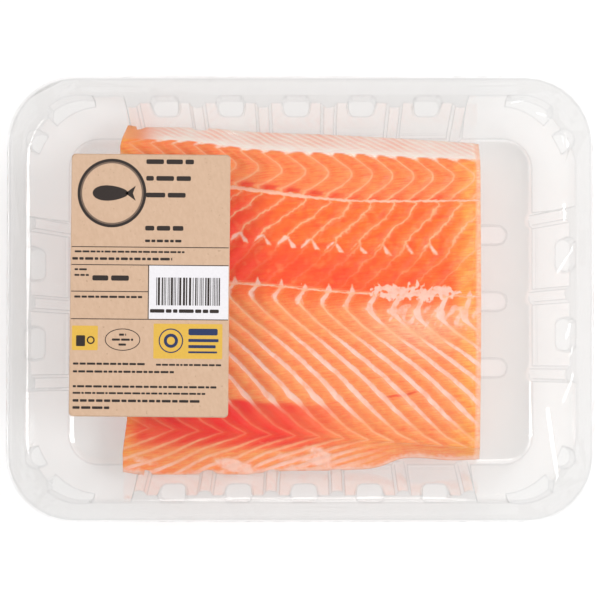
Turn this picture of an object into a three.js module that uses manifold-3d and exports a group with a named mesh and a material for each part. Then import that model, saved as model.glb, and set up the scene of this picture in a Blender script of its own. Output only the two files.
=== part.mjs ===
// A fresh salmon portion as it is sold: laid on the ribbed floor of a clear tray with sloping
// walls, under a clear film sealed to the tray's flange, with a paper label on the film.
// Millimetres, +Z up. The origin is under the middle of the pack, on the surface it stands on.
import * as THREE from 'three';
import { mergeVertices } from 'three/addons/utils/BufferGeometryUtils.js';
import Module from 'manifold-3d';

const wasm = await Module();
wasm.setup();

// Whole pack
const packLength = 250;
const packWidth = 190;
const packHeight = 45;
const filmThickness = 0.2;
const labelThickness = 0.2;
const flangeTop = packHeight - labelThickness - filmThickness;

// Tray: a sheet formed into a flange, walls and a floor
const sheet = 0.6;
const flangeCorner = 28;
const lipDrop = 1.6;
const openingLength = 233;
const openingWidth = 172;
const openingCorner = 27;
const wallRun = 12.3;
const creaseHeight = 5;
const filletRun = 6;
const cornerPower = 1.8;
const roundSteps = 8;
const footSteps = [1, 0.6, 0.25];

// The film stands a little past the flange, and its cut edge wavers by less than that
const filmOverhang = 1.2;
const filmWaver = { inset: 0.6, coarse: 0.35, coarseTurn: 1.7, fine: 0.25, fineTurn: 0.6 };

// Pockets let into the top of the walls, and half-round ribs down the walls between them.
// A pocket's section is [across, inwards] in parts of its half width and its reach.
const shelfDepth = 17;
const longRimInset = 2.9;
const shortRimInset = 2.4;
const ribHalfWidth = 3.45;
const ribDepth = 2.1;
const longPockets = { count: 5, pitch: 28, halfWidth: 5.85, shift: -1.7 };
const shortPockets = { count: 2, pitch: 34, halfWidth: 7.1, shift: 1.9 };
const pocketReach = 7.2;
const pocketSection = [[0.7, 0], [0.9, 0.14], [1, 0.4], [0.86, 0.76], [0.5, 1]];
const wallLevels = [28, shelfDepth, 9];

// In a corner the rim is set in between a crescent pocket and a small round one. Its ease is
// the turn, in radians, in which the inset grows from the short and from the long side.
const cornerRim = { inset: 2.4, easeShort: 0.62, easeLong: 0.95, steps: 9 };
const crescent = { start: 46, sweep: 46, depth: 9, bulge: 1.6, bulgeStart: 0.32, endDrop: 3.15, steps: 7 };
const roundPocket = { angle: 20.5, inset: 3, radius: 4.4, steps: 12 };

// Ribs across the floor that keep the fish out of its juice
const floorRib = { count: 3, pitch: 29.5, halfLength: 92, halfWidth: 4.5, rise: 1.4, endFlat: 0.01, steps: 4 };

// Label
const labelLength = 67.5;
const labelHeight = 111.5;
const labelCorner = 1.8;
const labelX = -63.7;
const labelY = 5.6;
const labelTurn = -0.5;

// Fish: the seams between its muscle bands, as [x, y] from the head end to the tail end
const restGap = 0.3;
const fishBottom = sheet + floorRib.rise + restGap;
const dorsalEdge = [[-77, 77], [-47, 76.3], [-20, 74.1], [13, 72.8], [46, 71], [80, 68.8]];
const bevelCrest = [[-77, 69.4], [-47, 68.3], [-18, 64.6], [29, 62.5], [51, 61.2], [80, 60.2]];
const upperSeam = [[-77, 50.5], [-30, 48.4], [-8.6, 45.8], [18, 42.8], [46, 42.4], [80, 42.8]];
const lateralSeam = [[-77, 9], [-28.5, 7.1], [-9.5, 5.8], [12, 3.7], [33, 2.4], [80, 1.1]];
const bellyTips = [[-77, -55], [-22, -58], [20, -60], [51.5, -62.3], [80, -64.5]];
const bellyEdge = [[-77, -74.6], [-56.5, -77.6], [-40.2, -75.4], [-27, -76.7], [-14, -74.5], [19, -73.7],
  [33, -72.6], [46, -68.4], [66, -69.4], [80, -68.8]];
const seams = [dorsalEdge, bevelCrest, upperSeam, lateralSeam, bellyTips, bellyEdge];

// The fat lines between flakes zigzag across the bands. A station counts the seams passed from
// the dorsal edge, and gives how far the line has moved towards the tail there.
const flakePitch = [[0, 9], [2.2, 9], [3, 10.1], [4, 10.6], [5, 10.6]];
const flakeTipX = 41.1;
const flakeShift = [[0, -28.8], [1, -10.8], [1.2, -5.5], [1.42, 0], [1.7, -5.2], [1.96, -13.4], [2.03, -9.6],
  [2.38, -25.1], [2.58, -31.1], [2.96, -44.5], [3.04, -49.7], [3.08, -61.6], [3.2, -53.8], [3.34, -41.8],
  [3.54, -24.5], [3.7, -15.5], [3.81, -9], [3.94, 1.3], [4, 9.9], [5, -16.8]];
const flakeRows = [0, 0.33, 0.67, 1, 1.2, 1.42, 1.56, 1.7, 1.84, 1.96, 2, 2.04, 2.16, 2.28, 2.38, 2.48, 2.58,
  2.7, 2.82, 2.94, 3, 3.04, 3.08, 3.14, 3.2, 3.27, 3.34, 3.42, 3.5, 3.6, 3.7, 3.8, 3.88, 3.94, 4,
  4.1, 4.25, 4.45, 4.7, 5];
const thickness = [[0, 13], [0.33, 18], [0.67, 23.3], [1, 28], [1.2, 29.3], [1.6, 29.8], [2, 29.4], [3, 28],
  [3.4, 26.4], [3.7, 23.6], [4, 19.2], [4.45, 16.6], [5, 13.6]];
const flakeRelief = 0.35;
const seamGroove = 0.7;
const seamReach = 0.08;
const flakeLines = { first: -14, last: 11, step: 0.5 };

// Under its edges the fish rounds down to the floor, as [inwards from the edge, height]
const bellyFoot = [[-0.7, 10.5], [0.8, 5], [3.4, 1], [7, 0]];
const dorsalFoot = [[5, 0], [2.4, 2], [0.2, 8]];

// Two knife cuts take the fish to length. The tail cut leans and bows, the head cut wavers.
const dorsalClear = 82;
const bellyClear = -84;
const headCut = [[-74.8, dorsalClear], [-77.6, 66], [-76.4, 0], [-75.2, -52], [-77.4, -66], [-77.6, bellyClear]];
const tailCut = { x: 77.2, slant: 1.6, bow: 0.4 };

// Reads a list of [position, value] pairs as a line through them.
function along(points, position) {
  const last = points.length - 1;
  let index = 0;
  while (index < last - 1 && position > points[index + 1][0]) index += 1;
  const [from, low] = points[index];
  const [to, high] = points[index + 1];
  const part = THREE.MathUtils.clamp((position - from) / (to - from), 0, 1);
  return low + (high - low) * part;
}

// Reads the same kind of list as a smooth curve through its points.
function curveAlong(points, position) {
  const last = points.length - 1;
  let index = 0;
  while (index < last - 1 && position > points[index + 1][0]) index += 1;
  const slope = (at) => {
    const before = points[Math.max(at - 1, 0)];
    const after = points[Math.min(at + 1, last)];
    return (after[1] - before[1]) / (after[0] - before[0]);
  };
  const [from, low] = points[index];
  const [to, high] = points[index + 1];
  const span = to - from;
  const t = THREE.MathUtils.clamp((position - from) / span, 0, 1);
  const rise = high - low;
  const bend = t * (1 - t) * ((1 - t) * (slope(index) * span - rise) - t * (slope(index + 1) * span - rise));
  return low + rise * t + bend;
}

// Turns a closed geometry into a solid that can be joined and cut.
function toSolid(geometry) {
  const plain = geometry.clone();
  plain.deleteAttribute('normal');
  plain.deleteAttribute('uv');
  const merged = mergeVertices(plain, 1e-4);
  return new wasm.Manifold(new wasm.Mesh({
    numProp: 3,
    vertProperties: new Float32Array(merged.attributes.position.array),
    triVerts: new Uint32Array(merged.index.array),
  }));
}

function toGeometry(solid) {
  const mesh = solid.getMesh();
  const geometry = new THREE.BufferGeometry();
  geometry.setAttribute('position', new THREE.BufferAttribute(new Float32Array(mesh.vertProperties), 3));
  geometry.setIndex(new THREE.BufferAttribute(new Uint32Array(mesh.triVerts), 1));
  geometry.computeVertexNormals();
  return geometry;
}

// Skins a stack of closed rings with equal numbers of points, lowest first, and caps both ends.
function loft(rings) {
  const count = rings[0].length;
  const points = rings.flat();
  const faces = [];
  for (let level = 0; level < rings.length - 1; level += 1) {
    for (let side = 0; side < count; side += 1) {
      const next = (side + 1) % count;
      const low = level * count;
      const high = low + count;
      faces.push(low + side, low + next, high + next, low + side, high + next, high + side);
    }
  }
  const caps = [{ ring: 0, flip: true }, { ring: rings.length - 1, flip: false }];
  for (const { ring, flip } of caps) {
    const middle = rings[ring].reduce((sum, point) => sum.map((value, axis) => value + point[axis] / count),
      [0, 0, 0]);
    const centre = points.push(middle) - 1;
    for (let side = 0; side < count; side += 1) {
      const here = ring * count + side;
      const next = ring * count + (side + 1) % count;
      faces.push(centre, flip ? next : here, flip ? here : next);
    }
  }
  const geometry = new THREE.BufferGeometry();
  geometry.setAttribute('position', new THREE.Float32BufferAttribute(points.flat(), 3));
  geometry.setIndex(faces);
  return geometry;
}

// An upright prism over an outline of [x, y] points.
function prism(outline, low, high, holes = []) {
  const shape = new THREE.Shape(outline.map(([x, y]) => new THREE.Vector2(x, y)));
  for (const hole of holes) {
    shape.holes.push(new THREE.Path(hole.map(([x, y]) => new THREE.Vector2(x, y))));
  }
  const geometry = new THREE.ExtrudeGeometry(shape, { depth: high - low, bevelEnabled: false, curveSegments: 1 });
  return geometry.translate(0, 0, low);
}

// A rectangle with rounded corners, counter-clockwise. A wave moves its sides in and out.
function roundedRectangle(length, width, radius, cornerSteps, sideSteps = 1, wave = () => 0) {
  const points = [];
  const corners = [[1, 1], [-1, 1], [-1, -1], [1, -1]];
  corners.forEach(([signX, signY], quarter) => {
    const centreX = signX * (length / 2 - radius);
    const centreY = signY * (width / 2 - radius);
    const nextSigns = corners[(quarter + 1) % 4];
    for (let step = 0; step <= cornerSteps; step += 1) {
      const angle = (quarter + step / cornerSteps) * Math.PI / 2;
      points.push([centreX + radius * Math.cos(angle), centreY + radius * Math.sin(angle)]);
    }
    const [startX, startY] = points[points.length - 1];
    const across = signX === nextSigns[0] ? 0 : -2 * centreX;
    const up = signY === nextSigns[1] ? 0 : -2 * centreY;
    for (let step = 1; step < sideSteps; step += 1) {
      const part = step / sideSteps;
      const bend = wave(points.length);
      points.push([startX + across * part + (across ? 0 : signX * bend),
        startY + up * part + (up ? 0 : signY * bend)]);
    }
  });
  return points;
}

// Stations round the wall: where each one stands on the opening's edge, which way is out, how
// far the rim line is set in there, how steep the wall starts and how far a rib stands in.
const halfLength = openingLength / 2;
const halfWidth = openingWidth / 2;
const cornerX = halfLength - openingCorner;
const cornerY = halfWidth - openingCorner;
const ribSection = [[-1, 0], [-0.64, 0.77], [0, 1], [0.64, 0.77], [1, 0]];

// Stations on one straight side. place(t) gives the point and the outward direction at t.
// The first and the last rib step straight back to the full width of the opening.
function sideStations(half, pockets, rimInset, place) {
  const stations = [];
  const add = (t, rim, power, bump) => stations.push({ ...place(t), rim, power, bump });
  add(-half, 0, cornerPower, 0);
  for (let rib = 0; rib <= pockets.count; rib += 1) {
    const middle = pockets.shift + (rib - pockets.count / 2) * pockets.pitch;
    for (const [across, height] of ribSection) {
      const outside = (rib === 0 && across === -1) || (rib === pockets.count && across === 1);
      const t = middle + across * ribHalfWidth;
      add(t, outside ? 0 : rimInset, outside ? cornerPower : 1, height * ribDepth);
    }
  }
  add(half, 0, cornerPower, 0);
  return stations;
}

// Stations round the corner at (signX * cornerX, cornerY), from the angle start to start + 90.
function cornerStations(signX, start) {
  const stations = [];
  for (let step = 1; step < cornerRim.steps; step += 1) {
    const turn = step / cornerRim.steps * Math.PI / 2;
    const angle = start + turn;
    const offShort = signX > 0 ? turn : Math.PI / 2 - turn;
    const offLong = Math.PI / 2 - offShort;
    const ease = Math.min(offShort / cornerRim.easeShort, offLong / cornerRim.easeLong, 1);
    const rim = cornerRim.inset * Math.sin(ease * Math.PI / 2);
    stations.push({ x: signX * cornerX + openingCorner * Math.cos(angle),
      y: cornerY + openingCorner * Math.sin(angle),
      outX: Math.cos(angle), outY: Math.sin(angle), rim, power: cornerPower, bump: 0 });
  }
  return stations;
}

// The right side, its upper corner, the upper side and its left corner: half of the way round.
// The tray looks the same when turned half round, so the rest is a turned copy.
const halfRound = [
  ...sideStations(cornerY, shortPockets, shortRimInset, (t) => ({ x: halfLength, y: t, outX: 1, outY: 0 })),
  ...cornerStations(1, 0),
  ...sideStations(cornerX, { ...longPockets, shift: -longPockets.shift }, longRimInset,
    (t) => ({ x: -t, y: halfWidth, outX: 0, outY: 1 })),
  ...cornerStations(-1, Math.PI / 2),
];
const wallStations = [
  ...halfRound,
  ...halfRound.map((s) => ({ ...s, x: -s.x, y: -s.y, outX: -s.outX, outY: -s.outY })),
];

// One ring of the wall at a depth below the flange, moved out by grow.
function wallRing(depth, height, grow) {
  const fall = THREE.MathUtils.clamp(depth / (flangeTop - creaseHeight), 0, 1);
  return wallStations.map((s) => {
    const inset = s.rim + (wallRun - s.rim) * fall ** s.power + s.bump - grow;
    return [s.x - s.outX * inset, s.y - s.outY * inset, height];
  });
}

// One ring of the rounded foot of the wall: run is how far it has turned in from the crease.
function footRing(run, height, grow) {
  return wallStations.map((s) => {
    const inset = wallRun + s.bump * (1 - run / filletRun) + run - grow;
    return [s.x - s.outX * inset, s.y - s.outY * inset, height];
  });
}

// The whole form of the tray's inside, or of its outside when grown by the sheet's thickness.
function trayForm(grow, top) {
  const floorHeight = sheet - grow;
  const footRise = creaseHeight - floorHeight;
  const foot = footSteps.map((part) => footRing(filletRun * part, floorHeight
    + footRise * (1 - Math.sqrt(1 - (1 - part) ** 2)), grow * (1 - part)));
  const depths = [flangeTop - creaseHeight, ...wallLevels, 0];
  const wall = depths.map((depth) => wallRing(depth, flangeTop - depth, grow));
  return toSolid(loft([...foot, ...wall, wallRing(0, top, grow)]));
}

// A pocket's outline seen from above: flat at the back, widest at the rim line, round in front.
function pocketOutline(halfSpan, grow) {
  const right = pocketSection.map(([across, inwards]) => [across * (halfSpan + grow),
    grow - inwards * (pocketReach + 2 * grow)]);
  const left = right.map(([across, out]) => [-across, out]).reverse();
  return [...right, ...left];
}

// The point at a reach and an angle in degrees from the centre of the upper right corner.
function cornerPoint(reach, degrees) {
  const angle = THREE.MathUtils.degToRad(degrees);
  return [cornerX + reach * Math.cos(angle), cornerY + reach * Math.sin(angle)];
}

// The crescent-shaped pocket of a corner, towards its long side. It bulges out past the opening
// and is cut off at its start.
function crescentOutline(grow) {
  const { start, sweep, depth, bulge, bulgeStart, endDrop, steps } = crescent;
  const outline = [];
  for (let step = 0; step <= steps; step += 1) {
    const part = step / steps;
    const swell = bulge * Math.sin(Math.PI * (bulgeStart + (1 - bulgeStart) * part));
    const drop = step === 0 ? endDrop : 0;
    outline.push(cornerPoint(openingCorner + swell - drop + grow, start + sweep * part));
  }
  outline.push(cornerPoint(openingCorner - depth, start + sweep));
  outline.push(cornerPoint(openingCorner - depth, start));
  return outline;
}

// The small round pocket of a corner, towards its short side.
function roundPocketOutline(grow) {
  const { angle, inset, radius, steps } = roundPocket;
  const [middleX, middleY] = cornerPoint(openingCorner - inset, angle);
  return Array.from({ length: steps }, (_, step) => {
    const turn = step / steps * 2 * Math.PI;
    return [middleX + (radius + grow) * Math.cos(turn), middleY + (radius + grow) * Math.sin(turn)];
  });
}

// Every pocket as an upright prism down to its shelf.
function pocketForms(grow, top) {
  const low = flangeTop - shelfDepth - grow;
  const forms = [];
  for (const half of [1, -1]) {
    for (let index = 0; index < longPockets.count; index += 1) {
      const x = longPockets.shift + (index - (longPockets.count - 1) / 2) * longPockets.pitch;
      forms.push(pocketOutline(longPockets.halfWidth, grow).map(([across, out]) => [half * (x + across),
        half * (halfWidth + out)]));
    }
    for (let index = 0; index < shortPockets.count; index += 1) {
      const y = shortPockets.shift + (index - (shortPockets.count - 1) / 2) * shortPockets.pitch;
      forms.push(pocketOutline(shortPockets.halfWidth, grow).map(([across, out]) => [half * (halfLength + out),
        half * (y + across)]));
    }
    for (const mirror of [1, -1]) {
      for (const outline of [crescentOutline(grow), roundPocketOutline(grow)]) {
        forms.push(outline.map(([x, y]) => [half * mirror * x, half * y]));
      }
    }
  }
  return forms.map((outline) => toSolid(prism(outline, low, top)));
}

function makeTray() {
  const above = flangeTop + 2;
  const below = -1;
  const trayLength = packLength - 2 * filmOverhang;
  const trayWidth = packWidth - 2 * filmOverhang;
  const edge = (inset) => roundedRectangle(trayLength - 2 * inset, trayWidth - 2 * inset, flangeCorner - inset,
    roundSteps);
  let tray = trayForm(sheet, flangeTop);
  for (const pocket of pocketForms(sheet, flangeTop)) tray = tray.add(pocket);
  tray = tray.add(toSolid(prism(edge(0), flangeTop - sheet, flangeTop)));
  tray = tray.add(toSolid(prism(edge(0), flangeTop - lipDrop, flangeTop, [edge(sheet)])));
  tray = tray.subtract(trayForm(0, above));
  for (const pocket of pocketForms(0, above)) tray = tray.subtract(pocket);
  for (let index = 0; index < floorRib.count; index += 1) {
    const y = (index - (floorRib.count - 1) / 2) * floorRib.pitch;
    const bar = (inset) => roundedRectangle(2 * (floorRib.halfLength - inset), 2 * (floorRib.halfWidth - inset),
      floorRib.halfWidth - inset - floorRib.endFlat, floorRib.steps).map(([x, across]) => [x, y + across]);
    tray = tray.add(toSolid(prism(bar(0), sheet / 2, sheet + floorRib.rise)));
    tray = tray.subtract(toSolid(prism(bar(sheet), below, floorRib.rise)));
  }
  return toGeometry(tray);
}

// The film was cut after sealing, so its edge stands a little past the flange and wavers.
function makeFilm() {
  const { inset, coarse, coarseTurn, fine, fineTurn } = filmWaver;
  const wave = (index) => coarse * Math.sin(index * coarseTurn) + fine * Math.sin(index * fineTurn) - inset;
  const outline = roundedRectangle(packLength, packWidth, flangeCorner + filmOverhang, roundSteps, roundSteps, wave);
  return prism(outline, flangeTop, flangeTop + filmThickness);
}

function makeLabel() {
  return prism(roundedRectangle(labelLength, labelHeight, labelCorner, roundSteps / 2), 0, labelThickness);
}

// The point of the fish's top at a flake line and a station, before the head and tail cuts.
function fishTop(line, station) {
  const x = flakeTipX + line * along(flakePitch, station) + along(flakeShift, station);
  const lastBand = seams.length - 1;
  const band = Math.min(Math.floor(station), lastBand - 1);
  const near = curveAlong(seams[band], x);
  const y = near + (curveAlong(seams[band + 1], x) - near) * (station - band);
  const side = Number.isInteger(line) ? -1 : 1;
  const inMuscle = station > 1 && station < lastBand ? 1 : 0;
  const offSeam = Math.min(Math.abs(station - 2), Math.abs(station - 3));
  const swell = Math.min(offSeam / seamReach, 1);
  const relief = inMuscle * (flakeRelief * swell * side - seamGroove * (1 - swell));
  return [x, y, fishBottom + curveAlong(thickness, station) + relief];
}

// A closed section for each half flake: over the top from the dorsal edge to the belly edge,
// round the belly side, back underneath and up the dorsal side.
function fishSection(line) {
  const top = flakeRows.map((station) => fishTop(line, station));
  const [dorsalX, dorsalY] = top[0];
  const [bellyX, bellyY] = top[top.length - 1];
  const belly = bellyFoot.map(([inwards, height]) => [bellyX, bellyY + inwards, fishBottom + height]);
  const under = [1 / 3, 2 / 3].map((part) => [THREE.MathUtils.lerp(bellyX, dorsalX, part),
    THREE.MathUtils.lerp(bellyY, dorsalY, part), fishBottom]);
  const dorsal = dorsalFoot.map(([inwards, height]) => [dorsalX, dorsalY - inwards, fishBottom + height]);
  return [...top, ...belly, ...under, ...dorsal];
}

// The whole strip of flakes is longer than the portion, and two knife cuts take it to length.
// Where it is wider than the floor, it is pressed to the form of the walls.
function makeFish() {
  const sections = [];
  for (let line = flakeLines.first; line <= flakeLines.last; line += flakeLines.step) {
    sections.push(fishSection(line));
  }
  const strip = toSolid(loft(sections));
  const cutRing = (height) => {
    const tail = tailCut.x + tailCut.slant * (1 - height / flangeTop);
    const tailFace = [[tail, bellyClear], [tail + tailCut.bow, 0], [tail, dorsalClear]];
    return [...headCut, ...tailFace].map(([x, y]) => [x, y, height]);
  };
  const block = toSolid(loft([cutRing(0), cutRing(flangeTop)]));
  return toGeometry(strip.intersect(block).intersect(trayForm(-restGap, flangeTop)));
}

function addPiece(parent, name, geometry, color, roughness) {
  const mesh = new THREE.Mesh(geometry, new THREE.MeshStandardMaterial({ color, roughness, metalness: 0 }));
  mesh.name = name;
  parent.add(mesh);
  return mesh;
}

const pack = new THREE.Group();
addPiece(pack, 'tray', makeTray(), 0xe9ebe8, 0.15);
addPiece(pack, 'film', makeFilm(), 0xf2f3f1, 0.1);
addPiece(pack, 'salmon', makeFish(), 0xf78f56, 0.4);
const label = addPiece(pack, 'label', makeLabel(), 0xd8b898, 0.6);
label.position.set(labelX, labelY, flangeTop + filmThickness);
label.rotation.z = THREE.MathUtils.degToRad(labelTurn);

export default pack;
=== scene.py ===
# A fresh salmon portion as it is sold: laid in a clear tray with ribbed walls, under a clear film
# that carries a paper label. Shapes are worked out in millimetres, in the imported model's frame,
# and become metres where a mesh is made.
import math
import random

import bmesh
import bpy
import numpy as np
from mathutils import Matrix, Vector, noise


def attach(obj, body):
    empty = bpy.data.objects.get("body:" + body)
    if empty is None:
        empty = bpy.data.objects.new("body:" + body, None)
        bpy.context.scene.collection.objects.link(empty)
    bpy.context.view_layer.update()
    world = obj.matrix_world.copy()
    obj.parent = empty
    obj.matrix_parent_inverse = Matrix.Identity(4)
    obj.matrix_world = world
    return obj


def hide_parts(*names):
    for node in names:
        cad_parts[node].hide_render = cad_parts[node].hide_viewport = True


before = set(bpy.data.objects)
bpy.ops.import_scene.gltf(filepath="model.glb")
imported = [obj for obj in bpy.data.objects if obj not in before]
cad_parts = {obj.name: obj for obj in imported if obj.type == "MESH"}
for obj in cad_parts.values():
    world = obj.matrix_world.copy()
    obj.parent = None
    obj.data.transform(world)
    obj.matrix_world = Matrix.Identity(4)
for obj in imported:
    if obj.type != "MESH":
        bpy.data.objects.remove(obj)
scene = bpy.context.scene
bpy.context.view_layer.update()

MM = 0.001

# Pack and tray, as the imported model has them
PACK_LENGTH = 250.0
PACK_WIDTH = 190.0
FILM_THICKNESS = 0.2
LABEL_THICKNESS = 0.2
FLANGE_TOP = 44.6
SHEET = 0.6
FILM_OVERHANG = 1.2
FLANGE_CORNER = 28.0
OPENING_LENGTH = 233.0
OPENING_WIDTH = 172.0
OPENING_CORNER = 27.0
WALL_RUN = 12.3
CREASE_HEIGHT = 5.0
FILLET_RUN = 6.0
CORNER_POWER = 1.8
LONG_RIM = 2.9
RIB_HALF_WIDTH = 3.45
RIB_DEPTH = 2.1
POCKET_COUNT = 5
POCKET_PITCH = 28.0
POCKET_SHIFT = -1.7
FLOOR_RIB_RISE = 1.4

# Label
LABEL_LENGTH = 67.5
LABEL_HEIGHT = 111.5
LABEL_CORNER = 1.8
LABEL_X = -63.7
LABEL_Y = 5.6
LABEL_TURN = math.radians(-0.5)

# Fish: seams as [x, y] from the head end to the tail end. A station is a place across the fish, from
# 0 at the dorsal edge to 5 at the belly edge, with a whole number on each of these curves
REST_GAP = 0.3
FISH_BOTTOM = SHEET + FLOOR_RIB_RISE + REST_GAP
DORSAL_EDGE = [(-77, 77), (-47, 76.3), (-20, 74.1), (13, 72.8), (46, 71), (80, 68.8)]
BEVEL_CREST = [(-77, 69.4), (-47, 68.3), (-18, 64.6), (29, 62.5), (51, 61.2), (80, 60.2)]
UPPER_SEAM = [(-77, 50.5), (-30, 48.4), (-8.6, 45.8), (18, 42.8), (46, 42.4), (80, 42.8)]
LATERAL_SEAM = [(-77, 9), (-28.5, 7.1), (-9.5, 5.8), (12, 3.7), (33, 2.4), (80, 1.1)]
BELLY_TIPS = [(-77, -55), (-22, -58), (20, -60), (51.5, -62.3), (80, -64.5)]
BELLY_EDGE = [(-77, -74.6), (-56.5, -77.6), (-40.2, -75.4), (-27, -76.7), (-14, -74.5), (19, -73.7),
              (33, -72.6), (46, -68.4), (66, -69.4), (80, -68.8)]
SEAMS = [DORSAL_EDGE, BEVEL_CREST, UPPER_SEAM, LATERAL_SEAM, BELLY_TIPS, BELLY_EDGE]
LAST_STATION = len(SEAMS) - 1
HEAD_X = -77.0
TAIL_X = 80.0
# The fat lines' distance from one to the next, and their shift towards the tail, by station
FLAKE_PITCH = [(0, 9), (1.98, 9), (2, 9.5), (2.45, 10.2), (3, 10.1), (4, 10.6), (5, 10.6)]
FLAKE_TIP_X = 41.1
FLAKE_SHIFT = [(0, -28.8), (1, -10.8), (1.2, -5.5), (1.42, 0), (1.7, -5.2), (1.96, -13.4), (2.03, -9.6),
               (2.18, -14.8), (2.34, -22.4), (2.42, -25.6), (2.49, -26.6), (2.58, -30), (2.97, -44.9),
               (2.995, -58.8), (3.04, -61), (3.08, -63), (3.2, -54.6), (3.34, -41.8), (3.54, -25.4),
               (3.7, -15), (3.81, -8.2), (3.94, 1.6), (4, 9.9), (5, -36)]
# The station at which the lines between the two seams fork
FORK_STATION = 2.46
# How far, as a share of the belly band, the hooks under the lateral seam reach, by x
HOOK_REACH = [(-30, 0.065), (0, 0.085), (30, 0.11), (60, 0.14)]
# The share that they have in the lists above
HOOK_SHARE = 0.08
THICKNESS = [(0, 13), (0.33, 18), (0.67, 23.3), (1, 28), (1.2, 29.3), (1.6, 29.8), (2, 29.4), (3, 28),
             (3.4, 26.4), (3.7, 23.6), (4, 19.2), (4.45, 16.6), (5, 13.6)]
FLAKE_RELIEF = 0.35
SEAM_GROOVE = 0.7
SEAM_REACH = 0.08
SURFACE_RELIEF = 0.18
HEAD_CUT = [(-84, -77.6), (-66, -77.4), (-52, -75.2), (0, -76.4), (66, -77.6), (82, -74.8)]
TAIL_CUT = {"x": 77.2, "slant": 1.6, "bow": 0.4, "reach": 83.0}
# Under its edges the fish rounds down to the floor, as [height, inwards from the edge]
BELLY_FOOT = [(0, 7), (1, 3.4), (5, 0.8), (10.5, -0.7), (13.6, 0)]
DORSAL_FOOT = [(0, 5), (2, 2.4), (8, 0.2), (13, 0)]


# Numbers along curves

def along(points, position):
    """Reads [position, value] pairs as a line through them."""
    places, values = np.array(points, float).T
    return np.interp(position, places, values)


def curve_along(points, position):
    """Reads the same kind of list as a smooth curve through its points."""
    places, values = np.array(points, float).T
    last = len(places) - 1
    before = np.maximum(np.arange(last + 1) - 1, 0)
    after = np.minimum(np.arange(last + 1) + 1, last)
    slope = (values[after] - values[before]) / (places[after] - places[before])
    index = np.clip(np.searchsorted(places, position) - 1, 0, last - 1)
    span = places[index + 1] - places[index]
    rise = values[index + 1] - values[index]
    t = np.clip((position - places[index]) / span, 0, 1)
    start = slope[index] * span - rise
    end = slope[index + 1] * span - rise
    return values[index] + rise * t + t * (1 - t) * ((1 - t) * start - t * end)


def ramp(value, low, high):
    """0 below low and 1 above high, with a smooth step between. low may be the greater one."""
    t = np.clip((np.asarray(value, float) - low) / (high - low), 0, 1)
    return t * t * (3 - 2 * t)


def spot(x, y, centre_x, centre_y, reach_x, reach_y):
    """A soft round patch, 1 at its centre."""
    return np.exp(-((x - centre_x) / reach_x) ** 2 - ((y - centre_y) / reach_y) ** 2)


def mist(x, y, size, seed):
    """Smooth noise from -1 to 1 over points in the plan, with features of about that size."""
    flat = zip((x / size).ravel(), (y / size).ravel())
    values = [noise.noise(Vector((a, b, seed * 7.3))) for a, b in flat]
    return np.array(values).reshape(np.shape(x))


# Colours

def srgb(red, green, blue):
    """A colour read from a picture, from 0 to 255, as the linear values that Blender works in."""
    parts = [value / 255 for value in (red, green, blue)]
    return tuple(p / 12.92 if p <= 0.04045 else ((p + 0.055) / 1.055) ** 2.4 for p in parts)


VEIL = 0.045
CLEARNESS = 0.96
DARKEST = 0.004


def under_film(red, green, blue):
    """The colour of a thing under the film, from the colour that it shows through it."""
    return tuple(max(DARKEST, (value - VEIL) / CLEARNESS) for value in srgb(red, green, blue))


class Graph:
    """The nodes of one material, with short names for what is used often."""

    def __init__(self, name):
        self.material = bpy.data.materials.new(name)
        self.material.use_nodes = True
        self.tree = self.material.node_tree
        self.tree.nodes.clear()
        self.end = self.tree.nodes.new("ShaderNodeOutputMaterial")

    def node(self, kind, inputs=(), **settings):
        made = self.tree.nodes.new("ShaderNode" + kind)
        for name, value in settings.items():
            setattr(made, name, value)
        for name, value in dict(inputs).items():
            self.feed(made.inputs[name], value)
        return made

    def feed(self, socket, value):
        if isinstance(value, bpy.types.NodeSocket):
            self.tree.links.new(value, socket)
        elif isinstance(value, tuple) and len(value) == 3 and socket.type == "RGBA":
            socket.default_value = (*value, 1)
        else:
            socket.default_value = value

    def math(self, operation, *values):
        made = self.tree.nodes.new("ShaderNodeMath")
        made.operation = operation
        for socket, value in zip(made.inputs, values):
            self.feed(socket, value)
        return made.outputs[0]

    def times(self, first, second):
        return self.math("MULTIPLY", first, second)

    def scaled(self, value, factor, plus):
        return self.math("MULTIPLY_ADD", value, factor, plus)

    def step(self, value, low, high):
        """The same smooth step as ramp, from 0 at low to 1 at high."""
        made = self.node("MapRange", interpolation_type="SMOOTHSTEP",
                         inputs={"Value": value, "From Min": low, "From Max": high})
        return made.outputs["Result"]

    def mix(self, factor, first, second, blend="MIX"):
        made = self.tree.nodes.new("ShaderNodeMix")
        made.data_type = "RGBA"
        made.blend_type = blend
        self.feed(made.inputs[0], factor)
        self.feed(made.inputs[6], first)
        self.feed(made.inputs[7], second)
        return made.outputs[2]

    def attribute(self, name, output="Fac"):
        return self.node("Attribute", attribute_name=name).outputs[output]

    def noise(self, size, detail, turn=0.0, roughness=0.5):
        """Noise around 0.5. size is the length of its features in millimetres along each axis, or
        one number for all, after a turn in degrees about the upright axis."""
        sizes = size if isinstance(size, tuple) else (size, size, size)
        place = self.node("TexCoord").outputs["Object"]
        mapped = self.node("Mapping", vector_type="TEXTURE", inputs={
            "Vector": place, "Rotation": (0, 0, math.radians(turn)), "Scale": tuple(s * MM for s in sizes)})
        made = self.node("TexNoise", inputs={"Vector": mapped.outputs[0], "Scale": 1.0, "Detail": detail,
                                             "Roughness": roughness})
        return made.outputs["Fac"]

    def bump(self, height, distance, strength):
        made = self.node("Bump", inputs={"Height": height, "Distance": distance, "Strength": strength})
        return made.outputs["Normal"]

    def surface(self, inputs):
        return self.finish(self.node("BsdfPrincipled", inputs=inputs).outputs[0])

    def finish(self, shader):
        self.tree.links.new(shader, self.end.inputs["Surface"])
        return self.material


# Meshes

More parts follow.
